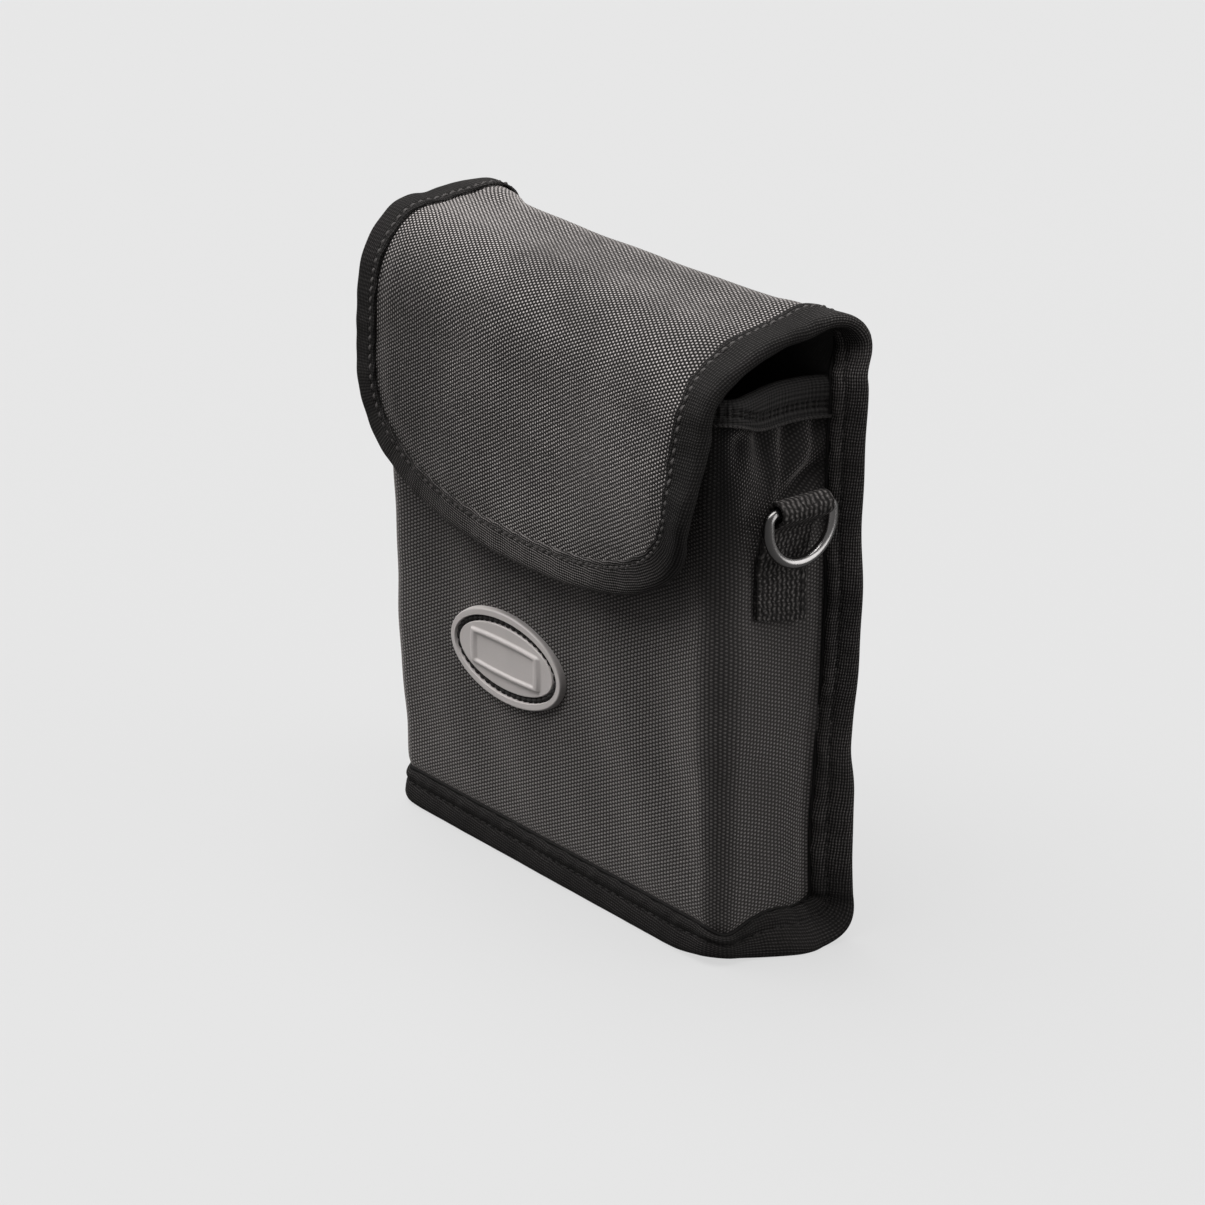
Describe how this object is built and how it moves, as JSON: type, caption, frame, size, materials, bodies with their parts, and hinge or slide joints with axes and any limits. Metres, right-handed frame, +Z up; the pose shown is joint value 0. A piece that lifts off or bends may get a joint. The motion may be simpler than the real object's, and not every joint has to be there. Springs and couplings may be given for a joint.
{
  "type": "binocular case",
  "caption": "Padded woven cloth case for compact binoculars, with a bound flap over the top and front, bound seams, side rings on webbing tabs and an oval badge.",
  "frame": {"origin": "on the floor under the middle of the bounding box", "axes": "+X to the right seen from the front, -Y the front that carries the badge, +Z up"},
  "size_m": [0.1682, 0.0558, 0.18],
  "materials": {
    "woven_cloth": "coarse plain weave, matt",
    "padding_foam": "closed-cell foam",
    "lining_cloth": "fine smooth weave",
    "stiff_board": "sheet",
    "binding_tape": "fine ribbed tape",
    "elastic": "ribbed elastic",
    "webbing": "woven strap",
    "hook_and_loop": "pile",
    "badge_rubber": "moulded, satin",
    "nickel": "nickel plate"
  },
  "bodies": {
    "case": {"wrap_shell": "woven_cloth", "wrap_foam": "padding_foam", "wrap_lining": "lining_cloth", "back_bottom_shell": "woven_cloth", "back_foam": "padding_foam", "back_lining": "lining_cloth", "bottom_board": "stiff_board", "bottom_lining": "lining_cloth", "front_mouth_binding": "binding_tape", "right_gusset_elastic": "elastic", "left_gusset_elastic": "elastic", "bottom_binding": "binding_tape", "right_back_binding": "binding_tape", "left_back_binding": "binding_tape", "right_ring_tab": "webbing", "left_ring_tab": "webbing", "loop_patch": "hook_and_loop", "badge": "badge_rubber", "belt_loop": "webbing"},
    "flap": {"flap_shell": "woven_cloth", "flap_foam": "padding_foam", "flap_lining": "lining_cloth", "flap_binding": "binding_tape", "hook_patch": "hook_and_loop"},
    "right_ring": {"right_d_ring": "nickel"},
    "left_ring": {"left_d_ring": "nickel"}
  },
  "joints": [
    {"name": "flap_hinge", "type": "hinge", "parent": "case", "child": "flap", "pos_m": [0, 0.02577, 0.16203], "axis": [-1, 0, 0], "range_deg": [0, 170]},
    {"name": "right_ring_swing", "type": "hinge", "parent": "case", "child": "right_ring", "pos_m": [0.081, 0.00088, 0.13083], "axis": [0, -1, 0], "range_deg": [0, 150]},
    {"name": "left_ring_swing", "type": "hinge", "parent": "case", "child": "left_ring", "pos_m": [-0.081, 0.00088, 0.13083], "axis": [0, 1, 0], "range_deg": [0, 150]}
  ]
}
